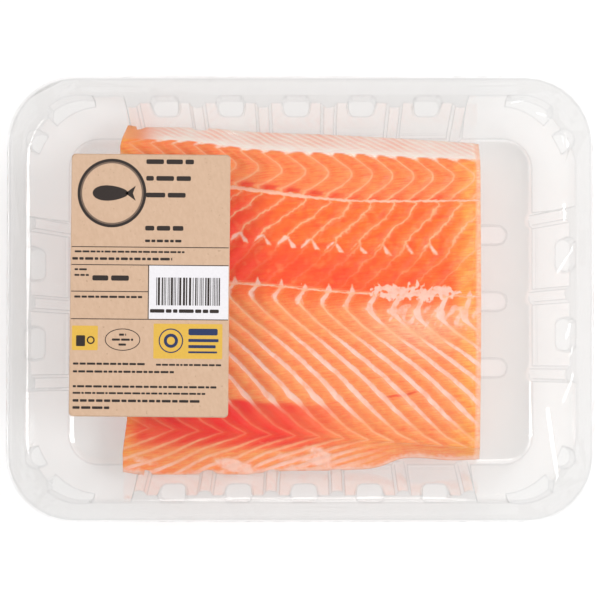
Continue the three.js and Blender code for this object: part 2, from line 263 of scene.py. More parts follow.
def add_object(name, data):
    made = bpy.data.objects.new(name, data)
    scene.collection.objects.link(made)
    return made


def make_piece(name, points, faces, material, smooth=True, values=None):
    """A mesh piece from points in millimetres. values holds numbers or colours for each point."""
    mesh = bpy.data.meshes.new(name)
    mesh.from_pydata((np.asarray(points, float) * MM).tolist(), [], [list(map(int, f)) for f in faces])
    mesh.validate()
    mesh.polygons.foreach_set("use_smooth", np.full(len(mesh.polygons), smooth))
    for key, data in (values or {}).items():
        data = np.asarray(data, np.float32)
        if data.ndim == 2:
            layer = mesh.attributes.new(key, "FLOAT_COLOR", "POINT")
            layer.data.foreach_set("color", np.column_stack([data, np.ones(len(data))]).ravel())
        else:
            layer = mesh.attributes.new(key, "FLOAT", "POINT")
            layer.data.foreach_set("value", data)
    mesh.materials.append(material)
    piece = add_object(name, mesh)
    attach(piece, "root")
    return piece


def thicken(piece, thickness):
    """Makes a sheet as thick as that, downwards from its own points."""
    sheet = piece.modifiers.new("thickness", "SOLIDIFY")
    sheet.thickness = thickness * MM
    sheet.offset = -1


def tube_faces(rows, columns):
    """The four-sided faces of a tube of points stored row by row, its last row joined to its first."""
    row = np.arange(rows)[:, None]
    column = np.arange(columns - 1)[None, :]
    low = row * columns + column
    high = (row + 1) % rows * columns + column
    return np.stack([low, low + 1, high + 1, high], -1).reshape(-1, 4)


def ring_faces(rings, count):
    """The faces between rings of count points stored ring by ring, and one inside the last ring."""
    faces = []
    for ring in range(rings - 1):
        near, far = ring * count, (ring + 1) * count
        for i in range(count):
            j = (i + 1) % count
            faces.append((near + i, near + j, far + j, far + i))
    faces.append(tuple(range((rings - 1) * count, rings * count)))
    return faces


def rounded_outline(length, width, radius, corner_steps, side_steps=1):
    """A rectangle with rounded corners about the origin, counter-clockwise."""
    points = []
    signs = [(1, 1), (-1, 1), (-1, -1), (1, -1)]
    for quarter, (sign_x, sign_y) in enumerate(signs):
        centre = np.array([sign_x * (length / 2 - radius), sign_y * (width / 2 - radius)])
        for step in range(corner_steps + 1):
            angle = (quarter + step / corner_steps) * math.pi / 2
            points.append(centre + radius * np.array([math.cos(angle), math.sin(angle)]))
        after = signs[(quarter + 1) % 4]
        end = np.array([after[0] * (length / 2 - radius), after[1] * (width / 2 - radius)])
        angle = (quarter + 1) * math.pi / 2
        end = end + radius * np.array([math.cos(angle), math.sin(angle)])
        start = points[-1]
        points += [start + (end - start) * step / side_steps for step in range(1, side_steps)]
    return np.array(points)


# Tray walls, as far as other pieces need to know them

def wall_inset(x, side, height):
    """How far the long side's inner wall stands in from the opening's edge. side is 1 or -1."""
    middles = POCKET_SHIFT * side + (np.arange(POCKET_COUNT + 1) - POCKET_COUNT / 2) * POCKET_PITCH
    nearest = np.min(np.abs(x[..., None] - middles), -1)
    bump = RIB_DEPTH * np.sqrt(np.clip(1 - (nearest / RIB_HALF_WIDTH) ** 2, 0, 1))
    ribbed = (x > middles[0]) & (x < middles[-1])
    rim = np.where(ribbed, LONG_RIM, 0)
    power = np.where(ribbed, 1, CORNER_POWER)
    fall = np.clip((FLANGE_TOP - height) / (FLANGE_TOP - CREASE_HEIGHT), 0, 1)
    wall = rim + (WALL_RUN - rim) * fall ** power + bump
    drop = np.clip(1 - (height - SHEET) / (CREASE_HEIGHT - SHEET), 0, 1)
    run = FILLET_RUN * (1 - np.sqrt(1 - drop ** 2))
    foot = WALL_RUN + bump * (1 - run / FILLET_RUN) + run
    return np.where(height < CREASE_HEIGHT, foot, wall)


# Salmon

COLUMNS = 290
# Rows of points from one station to the next, from the belly edge on
BAND_ROWS = [26, 122, 78, 36, 16]
SIDE_LEVELS = np.array([0.86, 0.7, 0.52, 0.34, 0.18, 0.06, 0.0])
BOTTOM_STEPS = 12
SETTLING_ROUNDS = 3
EDGE_SHARPNESS = 8
LINE_LEAN = 0.55
LINE_WANDER = 0.9
# How far, in stations, a fat line's corners are rounded: above, in the hooks and over the belly
TIP_ROUNDING = 0.09
HOOK_ROUNDING = 0.025
BELLY_ROUNDING = 0.05
UPPER_STRETCH = 0.085
STRETCH_FROM = 22.0
TAIL_ROUNDING = 2.4
TAIL_ROUNDING_SPAN = (-2.6, 0.9)
# Width in millimetres and strength from 0 to 1 of the fat lines, by station
LINE_WIDTH = [(0, 0.4), (1, 0.35), (1.4, 0.42), (1.95, 0.55), (2.1, 0.5), (2.4, 0.6), (2.7, 0.5),
              (2.99, 0.7), (3.02, 1.3), (3.07, 1.5), (3.12, 0.8), (3.28, 1.0), (3.42, 1.9), (3.75, 2.1),
              (3.9, 0.9), (4, 0.7), (4.3, 1.1), (4.8, 1.8), (5, 2.2)]
LINE_STRENGTH = [(0, 0), (0.95, 0.1), (1.05, 0.7), (1.9, 0.8), (2.43, 0.95), (2.5, 0.4), (2.62, 0.14),
                 (2.97, 0.08), (3.0, 1), (3.7, 0.95), (3.85, 0.75), (4, 0.6), (4.2, 0.75), (5, 0.75)]

FAT_THIN = under_film(254, 190, 146)
FAT_THICK = under_film(254, 209, 192)
FAT_SHADE = under_film(252, 166, 128)
FLESH = {name: under_film(*colour) for name, colour in {
    "bevel": (255, 237, 227),
    "upper": (252, 142, 90),
    "back": (252, 124, 68),
    "red": (255, 78, 22),
    "belly": (252, 152, 98),
    # The hooks' own orange lobes; the same colour is also painted shade on one side of each flake
    "lobe_and_flake_shade": (251, 112, 64),
    "dark": (244, 68, 20),
    "edge": (253, 168, 92),
    "haze": (251, 188, 156),
    "rim": (252, 196, 168),
    # Dark red used as painted shade in gaps above the upper seam and in a crack, over the flesh's deeper red
    "gap": (238, 78, 42),
    "streak": (254, 176, 148),
}.items()}
CRACK = {"x": 43.0, "y": -41.2, "slope": 0.16}
# Soft patches of colour, as centre x, centre y, reach in x and reach in y
RED_PATCH = (-30, 30, 16, 22)
HAZE_PATCH = (54, -12, 22, 9)


def seam_y(x, station):
    """The fish's y at a station."""
    curves = np.stack([curve_along(seam, x) for seam in SEAMS])
    band = np.clip(np.floor(station), 0, LAST_STATION - 1).astype(int)
    near = np.take_along_axis(curves, band[None], 0)[0]
    far = np.take_along_axis(curves, band[None] + 1, 0)[0]
    return near + (far - near) * (station - band)


def fish_points(u, station, level):
    """Points of the fish from the head cut, u 0, to the tail cut, u 1. level is 1 on the top and
    0 underneath. Also gives how deep each point lies below the top. x and y depend on each other,
    so they settle over a few rounds."""
    u, station, level = np.broadcast_arrays(u, station, level)
    x = HEAD_X + (TAIL_X - HEAD_X) * u
    round_from, round_to = TAIL_ROUNDING_SPAN
    for _ in range(SETTLING_ROUNDS):
        y = seam_y(x, station)
        line = flake_line(x, station, 0)
        top = FISH_BOTTOM + curve_along(THICKNESS, station) + relief(x, y, line, station)
        top = top - TAIL_ROUNDING * ramp(x, TAIL_CUT["x"] + round_from, TAIL_CUT["x"] + round_to)
        z = FISH_BOTTOM + level * (top - FISH_BOTTOM)
        belly = curve_along(BELLY_EDGE, x)
        part = (y - belly) / (curve_along(DORSAL_EDGE, x) - belly)
        height = z - FISH_BOTTOM
        y = y + along(BELLY_FOOT, height) * (1 - part) ** EDGE_SHARPNESS * (level < 1)
        y = y - along(DORSAL_FOOT, height) * part ** EDGE_SHARPNESS * (level < 1)
        tail = TAIL_CUT["x"] + TAIL_CUT["slant"] * (1 - z / FLANGE_TOP)
        tail = tail + TAIL_CUT["bow"] * (1 - np.abs(y) / TAIL_CUT["reach"])
        x = along(HEAD_CUT, y) * (1 - u) + tail * u
    side = np.where(y > 0, 1, -1)
    room = OPENING_WIDTH / 2 - REST_GAP - np.where(y > 0, wall_inset(x, 1, z), wall_inset(x, -1, z))
    y = side * np.minimum(np.abs(y), room)
    return x, y, z, top - z


def flake_line(x, station, depth):
    """Counts fat lines towards the tail: a whole number is on a line. Lines lean with depth."""
    hook = along(HOOK_REACH, x)
    below = np.clip(station - 3, 0, 1)
    past_hook = HOOK_SHARE + (1 - HOOK_SHARE) * (below - hook) / (1 - hook)
    bent = np.where(below < hook, HOOK_SHARE * below / hook, past_hook)
    station = np.where((station > 3) & (station < 4), 3 + bent, station)
    upper_band = ramp(station, 1.0, 1.08) * ramp(station, 2.0, 1.9)
    rounding = TIP_ROUNDING * upper_band
    rounding = rounding + HOOK_ROUNDING * ramp(station, 3.0, 3.03) * ramp(station, 3.14, 3.1)
    rounding = rounding + BELLY_ROUNDING * ramp(station, 3.3, 3.4) * ramp(station, 3.92, 3.86)
    shift = (along(FLAKE_SHIFT, station - rounding) + along(FLAKE_SHIFT, station)
             + along(FLAKE_SHIFT, station + rounding)) / 3
    wider = UPPER_STRETCH * np.maximum(STRETCH_FROM - x, 0) * upper_band
    uneven = LINE_WANDER * mist(x, station * 9, 21, 12)
    return (x + wider + uneven - FLAKE_TIP_X - shift - LINE_LEAN * depth) / along(FLAKE_PITCH, station)


def relief(x, y, line, station):
    """Flakes swell between the fat lines, and the seams are grooves."""
    in_muscle = ramp(station, 0.98, 1.06) * ramp(station, 5, 4.9)
    off_seam = np.minimum(np.abs(station - 2), np.abs(station - 3))
    swell = np.minimum(off_seam / SEAM_REACH, 1)
    swell_in = 1 - ramp(station, 4.02, 4.15) * ramp(x, 5, 35)
    waves = -FLAKE_RELIEF * np.cos(2 * np.pi * line) * swell * swell_in
    return in_muscle * (waves - SEAM_GROOVE * (1 - swell)) + SURFACE_RELIEF * mist(x, y, 9, 1)


def line_reach(x, station):
    """Millimetres, square to the fat lines, from one line to the next."""
    nudge = 0.02
    shift = along(FLAKE_SHIFT, station + nudge) - along(FLAKE_SHIFT, station - nudge)
    above, below = (np.clip(station + step, 0, LAST_STATION) for step in (-nudge, nudge))
    rise = seam_y(x, below) - seam_y(x, above)
    slope = shift / np.minimum(rise, -0.05)
    return along(FLAKE_PITCH, station) / np.sqrt(1 + slope ** 2)


def flesh_colour(x, y, station, line, depth):
    """The flesh's colour without its fat lines; it holds painted shade beside each flake, in gaps and in a
    crack.
    """
    near_top = ramp(depth, 9, 1)
    upper = y - curve_along(UPPER_SEAM, x)
    lateral = y - curve_along(LATERAL_SEAM, x)
    phase = line - np.floor(line)
    colour = np.ones(x.shape + (3,)) * FLESH["upper"]

    def paint(mask, name):
        nonlocal colour
        colour = colour + (np.array(FLESH[name]) - colour) * np.clip(mask, 0, 1)[..., None]

    cloud = mist(x, y, 14, 2)
    # Between the upper and the lateral seam the flesh reddens towards the lateral one
    paint(ramp(station, 1.97, 2.03), "back")
    paint(ramp(lateral, 24, 8) * ramp(station, 2.2, 2.4) * (0.62 - 0.004 * x + 0.25 * cloud), "red")
    paint(spot(x, y, *RED_PATCH) * 0.9 * ramp(station, 1.98, 2.1), "red")
    in_back = ramp(station, 2.02, 2.1) * ramp(station, 3, 2.93)
    paint(in_back * ramp(mist(x, y, 3.4, 26), 0.12, 0.5) * 0.3, "belly")
    paint(in_back * ramp(mist(x, y, 4.2, 27), 0.1, 0.5) * 0.3, "red")
    # Below the lateral seam the flakes are paler, with orange lobes inside the hooks
    paint(ramp(station, 2.98, 3.02), "belly")
    paint(ramp(station, 3.16, 3.03) * ramp(station, 2.97, 3.0) * 0.8, "lobe_and_flake_shade")
    # The flesh is darker red above the belly's edge on the head side
    dark = ramp(station + 0.02 * cloud, 3.765, 3.80) * ramp(station, 4.5, 4.2) * ramp(x, 36, -16)
    paint(dark * (0.9 + 0.2 * cloud), "dark")
    # Each flake is painted darker just past a fat line: painted shade on that side of its swell.
    # Just above the upper seam the flesh is deepest red
    calm_edge = ramp(station, 4.0, 4.1) * ramp(x, 5, 35)
    # Painted shade: the side of each flake's swell just past a fat line is darker
    paint(ramp(phase, 0.55, 0.05) * 0.22 * ramp(station, 1, 1.1) * (1 - calm_edge), "lobe_and_flake_shade")
    paint(ramp(upper, 6, 0) * ramp(upper, -0.5, 0) * ramp(phase, 0.8, 0.2) * 0.6, "red")
    scallop = 0.10 * np.abs(np.sin(np.pi * phase)) + 0.05 * mist(x, y, 5, 17)
    on_bevel = ramp(station + scallop, 1.1, 1.04) * ramp(x + 2 * cloud, -72, -56)
    paint(on_bevel, "bevel")
    halves = 2 * line + 0.3 * mist(x, y, 7, 24)
    streaks = ramp(np.abs(halves - np.round(halves)), 0.48, 0.12) * ramp(station, 0.9, 0.5)
    paint(on_bevel * streaks * (0.6 + 0.5 * mist(x, y, 12, 25)), "streak")
    tail_end = ramp(x + 4 * mist(x, y, 11, 3), 63, 74) * ramp(station, 0.9, 1.1)
    paint(tail_end * 0.85 * (0.3 + 0.7 * near_top), "edge")
    paint(ramp(x, TAIL_CUT["x"] - 1.9, TAIL_CUT["x"] - 0.6) * (0.5 + 0.3 * near_top), "rim")
    # Painted shade: gaps just above the upper seam, between the fat lines, are painted dark red over the
    # flesh's deeper red
    gap = ramp(upper, 0.9, 1.6) * ramp(upper, 3.6, 2.4) * ramp(phase, 0.14, 0.26) * ramp(phase, 0.86, 0.7)
    paint(gap * ramp(x, 22, 8) * 0.8, "gap")
    # A crack, painted as a thin dark red line with no depth in the mesh: painted shade in it over the flesh's
    # deeper red
    rise = y - CRACK["y"] - CRACK["slope"] * (x - CRACK["x"])
    crack = ramp(np.abs(rise + 0.6 * mist(x, y, 3, 23)), 0.9, 0.1)
    paint(crack * ramp(np.abs(x - CRACK["x"]), 9, 6) * 0.85, "gap")
    head_end = ramp(x + 3 * mist(x, y, 9, 4), -66, -77) * ramp(station, 5, 4.6)
    paint(head_end * 0.7 * (0.25 + 0.75 * near_top), "edge")
    paint(spot(x, y, *HAZE_PATCH) * (0.62 + 0.5 * cloud) * ramp(station, 3.0, 3.1), "haze")
    return colour


def fat_lines(x, station):
    """Width and strength of the fat lines, with what changes along the fish."""
    width = along(LINE_WIDTH, station)
    strength = along(LINE_STRENGTH, station)
    strength = strength * (1 - 0.85 * ramp(x, 12, 40) * ramp(station, 4.02, 4.12))
    below_forks = ramp(station, 2.46, 2.6) * ramp(station, 2.97, 2.7)
    strength = strength * (1 + (1.1 * ramp(x, 8, 26) + 1.1 * ramp(x, 52, 62)) * below_forks)
    in_dark = ramp(station, 3.76, 3.82) * ramp(station, 4.3, 4.05) * ramp(x, 36, 0)
    width = width + 1.3 * np.exp(-((station - 3.74) / 0.028) ** 2) * ramp(x, 30, 5)
    width = width + 1.3 * np.exp(-((station - 3.13) / 0.06) ** 2) * ramp(x, 20, 36)
    return width * (1 - 0.25 * ramp(x, 10, -30) * ramp(station, 3.2, 3.4)), strength * (1 - 0.7 * in_dark)


def fat_strokes(x, y, station):
    """Distance in millimetres to the edge of the thicker fat: the spurs, teeth, patch and border.
    It is negative inside them."""
    lateral = y - curve_along(LATERAL_SEAM, x)
    ragged = mist(x, y, 1.6, 5) * 0.55 + mist(x, y, 4, 6) * 0.5

    # Forks: where a line of the back ends, a short thick spur runs down towards the tail, and a wing
    # down towards the head. The wings are full at the head end and thin at the tail end
    row = np.full(x.shape, FORK_STATION)
    drop = seam_y(x, row) - y - 0.8 * mist(x, y * 0, 12, 13)
    fork = flake_line(x, row, 0)
    place = (fork - np.round(fork)) * along(FLAKE_PITCH, FORK_STATION)
    fork_size = 0.25 + 0.45 * mist(x, y * 0, 9, 30)
    spur = np.abs(place - 0.62 * drop) * 0.85 - 0.32 - 0.4 * fork_size - 0.5 * ramp(drop, 0.2, 3.4)
    wing_size = 0.4 * mist(x, y * 0, 8, 31) + 0.75 * ramp(x, 26, -6) - 0.15
    wing = np.abs(place + 0.95 * drop + 0.5) * 0.72 - 0.35 - wing_size + 0.5 * ramp(drop, 1, 4.2)
    forks = np.maximum(np.minimum(spur, wing), np.abs(drop - 2.1) - 2.3)
    spurs = forks + 0.25 * mist(x, y, 2.2, 14) + 1.5 * ramp(x, 62, 70)

    # Teeth: points that rise from the lateral seam where a hook starts
    pitch = along(FLAKE_PITCH, 3)
    hook = flake_line(x, np.full(x.shape, 3.0), 0)
    off_tooth = np.abs(hook - np.round(hook)) * pitch
    tooth_height = 3.0 + 2.4 * mist(x, y * 0, 9, 7)
    teeth = np.maximum(off_tooth - 1.6 * (1 - lateral / tooth_height), -lateral)
    teeth = np.maximum(teeth, lateral - tooth_height)

    # A ragged patch on the lateral seam towards the tail
    patch_centre = 1.5 + 0.8 * mist(x, x * 0, 6, 8)
    patch_half = 4.2 * ramp(x, 28, 33) * ramp(x, 72, 62) - 1.4
    patch = np.abs(lateral - patch_centre) - patch_half
    patch = patch + 2.6 * mist(x * 1.5, y * 0.6, 2.4, 15) + 0.9 * mist(x * 1.6, y, 1.1, 16)
    patch = np.maximum(patch, 4 * (mist(x, y, 1.5, 28) - 0.42))

    # Fat lies thick on each hook's tip, and in smears below the seam towards the tail
    tip = along(HOOK_REACH, x) * (curve_along(LATERAL_SEAM, x) - curve_along(BELLY_TIPS, x))
    line = flake_line(x, station, 0)
    off_line = np.abs(line - np.round(line)) * line_reach(x, station)
    blob_size = 1.2 + 1.2 * mist(x, x * 0, 11, 29)
    blob = off_line - blob_size + 0.5 * np.abs(lateral + tip) + 0.9 * mist(x, y, 2, 19)
    smear = 3.2 - 2.75 * ramp(x, 28, 42) * ramp(lateral, -2, -5) * ramp(lateral, -21, -12)
    smear = smear + 2.3 * mist((x - 0.5 * y) * 1.7, y * 0.55, 4, 20) + 0.6 * mist(x, y, 1.7, 21)

    # The belly's border, with an uneven inner edge and pale blobs
    above_edge = y - curve_along(BELLY_EDGE, x)
    border = above_edge - 1.6 - 0.9 * mist(x, y * 0, 8, 9)
    lumps = -0.1 + 1.6 * ramp(x, 5, 30) + 0.3 * np.abs(above_edge - 5.2)
    lumps = lumps + 3.4 * mist(x * 0.6 + y, y * 1.1, 8, 22)
    border = np.minimum(border * 0.6, lumps)
    thick = np.minimum(np.maximum(np.minimum(blob, smear), -0.12), 0.6 * border)
    thick = np.minimum(thick, np.minimum(np.minimum(spurs + 0.3 * ragged, teeth + 0.2 * ragged), patch))
    return np.clip(thick, -3, 3)


def salmon_material():
    g = Graph("salmon_flesh")
    flesh = g.attribute("flesh", "Color")
    line = g.attribute("line")
    station = g.attribute("station")
    waver_coarse = g.math("SUBTRACT", g.noise(6.5, 1.0), 0.5)
    waver_fine = g.math("SUBTRACT", g.noise(1.9, 2.0), 0.5)
    in_back = g.times(g.step(station, 1.9, 2.1), g.step(station, 3.0, 2.9))
    waver = g.times(waver_coarse, g.scaled(in_back, 0.30, 0.14))
    waver = g.math("ADD", waver, g.times(waver_fine, g.scaled(in_back, 0.26, 0.05)))
    line = g.math("ADD", line, waver)
    off_line = g.math("ABSOLUTE", g.math("SUBTRACT", line, g.math("ROUND", line)))
    off_line = g.times(off_line, g.attribute("reach"))
    half = g.times(g.attribute("width"), 0.5)
    uneven = g.times(waver_fine, 0.55)
    soft = g.math("ADD", g.math("SUBTRACT", off_line, half), uneven)
    lines = g.times(g.step(soft, 0.3, -0.2), g.attribute("strength"))
    lines = g.times(lines, g.scaled(waver_coarse, 1.3, 0.92))

    halo = g.times(g.step(soft, 1.5, 0.0), g.times(g.attribute("strength"), 0.26))

    # The two seams, each a thin line of fat
    grain = g.math("SUBTRACT", g.noise(2.4, 3.0), 0.5)
    septa = None
    for name, half_width, thicker in (("upper", 0.40, 1.0), ("lateral", 0.24, 0.15)):
        off_seam = g.math("ABSOLUTE", g.scaled(waver_fine, 1.3, g.attribute(name)))
        thickness = g.scaled(g.attribute("septum"), thicker, half_width)
        thickness = g.scaled(waver_coarse, 0.6, thickness)
        seam = g.step(g.math("SUBTRACT", off_seam, thickness), 0.26, -0.22)
        septa = seam if septa is None else g.math("MAXIMUM", septa, seam)
    edge = g.scaled(grain, 1.3, g.attribute("stroke"))
    strokes = g.times(g.step(edge, 0.45, -0.6), 0.92)
    fat = g.math("MAXIMUM", g.math("MAXIMUM", lines, g.times(septa, 0.95)), strokes)
    thick = g.step(g.math("MAXIMUM", g.attribute("width"), g.times(strokes, 2)), 0.9, 1.5)

    # Fine fibres, long across the flakes, and soft mottling
    fleshy = g.scaled(g.step(station, 0.9, 1.1), 0.75, 0.25)
    fibres = g.times(g.math("SUBTRACT", g.noise((6, 0.6, 3), 3.0, turn=6), 0.5), fleshy)
    mottle = g.times(g.math("SUBTRACT", g.noise(3.5, 4.0, roughness=0.65), 0.5), fleshy)
    shade = g.scaled(fibres, 1.2, g.scaled(mottle, 0.9, 1.0))
    shading = g.node("CombineColor", inputs={"Red": 1.0, "Green": shade, "Blue": shade})
    flesh = g.mix(1.0, flesh, shading.outputs[0], "MULTIPLY")
    flesh = g.mix(halo, flesh, FAT_THIN)
    fat_colour = g.mix(g.math("MAXIMUM", thick, g.times(septa, 0.6)), FAT_THIN, FAT_THICK)
    shaded = g.times(g.step(g.noise(2.6, 2.0), 0.45, 0.8), 0.6)
    fat_colour = g.mix(shaded, fat_colour, FAT_SHADE)
    colour = g.mix(fat, flesh, fat_colour)

    height = g.scaled(fat, -0.5, g.scaled(fibres, 0.35, mottle))
    normal = g.bump(height, 0.00045, 0.55)
    return g.surface({
        "Base Color": colour, "Roughness": 0.4, "IOR": 1.3, "Normal": normal,
        "Subsurface Weight": 0.1, "Subsurface Radius": (1.0, 0.32, 0.16), "Subsurface Scale": 0.003,
        "Coat Weight": 0.12, "Coat Roughness": 0.12,
    })


def salmon_form():
    """Points, depths, stations and faces of the fish: a tube from cut to cut, and the knife cuts."""
    bands = range(LAST_STATION - 1, -1, -1)
    stations = np.concatenate([*[np.linspace(band + 1, band, count, endpoint=False)
                                 for band, count in zip(bands, BAND_ROWS)], [0.0]])
    tops = len(stations)
    under = np.linspace(tops - 1, 0, BOTTOM_STEPS + 1).round().astype(int)[1:-1]
    # One closed section, from the belly edge over the top, down the dorsal side and back
    row_station = np.concatenate([stations, np.zeros(len(SIDE_LEVELS)), stations[under],
                                  np.full(len(SIDE_LEVELS), LAST_STATION)])
    row_level = np.concatenate([np.ones(tops), SIDE_LEVELS, np.zeros(len(under)), SIDE_LEVELS[::-1]])
    rows = len(row_station)
    u = np.linspace(0, 1, COLUMNS)
    parts = [[a.ravel() for a in fish_points(u[None, :], row_station[:, None], row_level[:, None])]]
    own_station = [np.repeat(row_station, COLUMNS)]
    faces = tube_faces(rows, COLUMNS).tolist()

    # The two knife cuts: rows of points from the top down, then wide faces to the sparse underside
    total = rows * COLUMNS
    levels = len(SIDE_LEVELS)
    inner = stations[1:-1]
    breaks = [tops - 1, *under, 0]
    for column in (0, COLUMNS - 1):
        cut = fish_points(u[column], inner[None, :], SIDE_LEVELS[:-1, None])
        parts.append([a.ravel() for a in cut])
        own_station.append(np.tile(inner, levels - 1))
        belly_down = [(rows - 1 - k) * COLUMNS + column for k in range(levels)]
        dorsal_down = [(tops + k) * COLUMNS + column for k in range(levels)]
        net = [[i * COLUMNS + column for i in range(tops)]]
        for k in range(levels - 1):
            first = total + k * len(inner)
            net.append([belly_down[k], *range(first, first + len(inner)), dorsal_down[k]])
        total += (levels - 1) * len(inner)
        cut_faces = [(above[i], above[i + 1], below[i + 1], below[i])
                     for above, below in zip(net, net[1:]) for i in range(tops - 1)]
        under_points = [dorsal_down[-1], *[(tops + levels + k) * COLUMNS + column for k in range(len(under))],
                        belly_down[-1]]
        for k in range(len(breaks) - 1):
            run = net[-1][breaks[k + 1]:breaks[k] + 1]
            cut_faces.append((*run, under_points[k], under_points[k + 1]))
        # The tail cut looks the other way
        faces += cut_faces if column == 0 else [face[::-1] for face in cut_faces]
    x, y, z, depth = (np.concatenate([p[k] for p in parts]) for k in range(4))
    return x, y, z, depth, np.concatenate(own_station), faces


def make_salmon():
    x, y, z, depth, station, faces = salmon_form()
    line = flake_line(x, station, depth)
    width, strength = fat_lines(x, station)
    on_top = ramp(depth, 3, 0)
    values = {
        "line": line, "station": station, "reach": line_reach(x, station), "width": width,
        "strength": strength * (0.75 + 0.25 * on_top),
        "upper": y - curve_along(UPPER_SEAM, x), "lateral": y - curve_along(LATERAL_SEAM, x),
        "stroke": fat_strokes(x, y, station) + 3 * (1 - on_top),
        "septum": 0.45 * ramp(x, 30, -25), "flesh": flesh_colour(x, y, station, line, depth),
    }
    piece = make_piece("salmon_flesh", np.stack([x, y, z], -1), faces, salmon_material(),
                       values=values)
    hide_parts("salmon")


# Clear plastic

CLEAR_WHITE = srgb(246, 246, 244)
MIRROR_AT_EDGE = 0.6


def clear_material(name, tint, edge_tint, gloss_roughness, haze, mirror=0.035, ripple_size=16):
    """A thin clear sheet: light goes straight through it, and it mirrors more at low angles."""
    g = Graph(name)
    facing = g.node("LayerWeight", inputs={"Blend": 0.5}).outputs["Facing"]
    fresnel = g.scaled(g.math("POWER", facing, 5.0), MIRROR_AT_EDGE, mirror)
    through = g.mix(g.step(facing, 0.75, 1.0), tint, edge_tint)
    clear = g.node("BsdfTransparent", inputs={"Color": through})
    dull = g.node("BsdfDiffuse", inputs={"Color": CLEAR_WHITE})
    body = g.node("MixShader", inputs={"Fac": haze})
    g.tree.links.new(clear.outputs[0], body.inputs[1])
    g.tree.links.new(dull.outputs[0], body.inputs[2])
    ripple = g.bump(g.noise(ripple_size, 2.0), 0.0005, 0.3)
    gloss = g.node("BsdfGlossy", inputs={"Color": (1.0, 1.0, 1.0), "Roughness": gloss_roughness,
                                         "Normal": ripple})
    shader = g.node("MixShader", inputs={"Fac": fresnel})
    g.tree.links.new(body.outputs[0], shader.inputs[1])
    g.tree.links.new(gloss.outputs[0], shader.inputs[2])
    return g.finish(shader.outputs[0])


# Tray

FOLD_ROUNDING = 0.28
SHARP_FOLD = math.radians(32)
SOFT_FOLD = math.radians(8)
MERGE_REACH = 0.01
FLAT_ANGLE = math.radians(0.5)
# Level faces above the first height are the rim's, and those between the other two the floor ribs'
LEVEL_NORMAL = 0.9
RIM_HEIGHT = 43.0
RIB_FOOT = 1.0
RIB_CROWN = 2.4
# Name, tint, tint seen edge-on, roughness of the gloss, and haze
TRAY_SHEETS = [
    ("clear_tray", (0.975, 0.974, 0.971), (0.86, 0.86, 0.86), 0.10, 0.012),
    # The folds' darker tint is painted shade, for the dark line that bent clear sheet shows
    ("tray_fold_shade", (0.89, 0.89, 0.89), (0.76, 0.76, 0.76), 0.12, 0.0),
    ("tray_rim", (0.935, 0.932, 0.928), (0.8, 0.8, 0.8), 0.12, 0.012),
    ("tray_ribs", (1.0, 1.0, 1.0), (0.86, 0.86, 0.86), 0.2, 0.03),
]
WALLS, FOLD_SHADE, RIM, RIBS = range(len(TRAY_SHEETS))


def is_fold(edge):
    """True where the sheet is bent sharply, and along the soft crease at the foot of its walls."""
    if len(edge.link_faces) != 2:
        return False
    angle = edge.calc_face_angle()
    heights = [corner.co.z / MM for corner in edge.verts]
    on_crease = all(abs(height - CREASE_HEIGHT) < SHEET for height in heights)
    return angle > SHARP_FOLD or (on_crease and angle > SOFT_FOLD)


def make_tray():
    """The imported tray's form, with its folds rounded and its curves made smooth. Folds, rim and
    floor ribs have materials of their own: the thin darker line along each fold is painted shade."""
    form = bmesh.new()
    form.from_mesh(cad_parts["tray"].data)
    bmesh.ops.remove_doubles(form, verts=form.verts, dist=MERGE_REACH * MM)
    bmesh.ops.dissolve_limit(form, angle_limit=FLAT_ANGLE, verts=form.verts, edges=form.edges)
    for face in form.faces:
        height = face.calc_center_median().z / MM
        level = abs(face.normal.z) > LEVEL_NORMAL
        on_rim = level and height > RIM_HEIGHT
        on_rib = level and RIB_FOOT < height < RIB_CROWN
        face.material_index = RIM if on_rim else RIBS if on_rib else WALLS
    weight = form.edges.layers.float.new("bevel_weight_edge")
    for edge in form.edges:
        edge[weight] = 1.0 if is_fold(edge) else 0.0
    mesh = bpy.data.meshes.new("clear_tray")
    form.to_mesh(mesh)
    form.free()
    mesh.polygons.foreach_set("use_smooth", np.full(len(mesh.polygons), True))
    for sheet in TRAY_SHEETS:
        mesh.materials.append(clear_material(*sheet))
    tray = add_object("clear_tray", mesh)
    fold = tray.modifiers.new("folds", "BEVEL")
    fold.width = FOLD_ROUNDING * MM
    fold.segments = 2
    fold.limit_method = "WEIGHT"
    # The rounded folds take the darker tint: painted shade along each fold
    fold.material = FOLD_SHADE
    fold.use_clamp_overlap = False
    weights = tray.modifiers.new("normals", "WEIGHTED_NORMAL")
    weights.keep_sharp = True
    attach(tray, "root")
    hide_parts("tray")


# Film

FILM_DIP = 3.7
DIP_REACH = 6.4
DIP_RISE = 40.0
FILM_SLACK = 0.14
# Small creases of the film, each from one place to another
FILM_CREASES = [((103.8, -47), (108.5, -81)), ((108.5, 12), (115, 22)), ((110.5, -43), (115, -32)),
                ((111.5, 34), (111, 41)), ((112, -16), (113.5, -11)), ((113, -24), (115, -21)),
                ((89, 82), (95, 83.5)), ((101, 78), (105, 76.5)), ((112, 71), (112.8, 65))]
FILM_CREASE_RISE = 0.62
FILM_CREASE_REACH = 1.1
# The film's rings of points, by how far in they run, and then ever smaller ones to its middle
FLANGE_INSETS = [0, 0.6, 1.6, 3, 5, 7, 8.2]
DIP_INSETS = [8.8 + 0.45 * step for step in range(36)]
INNER_INSETS = [25.5, 27]
MIDDLE_SCALES = np.linspace(1, 0.03, 26)[1:]
FILM_CORNER_STEPS = 16
FILM_SIDE_STEPS = 108
# The knife cut along the film's edge wanders
CUT_INSET = 0.9
CUT_WANDER = 0.5


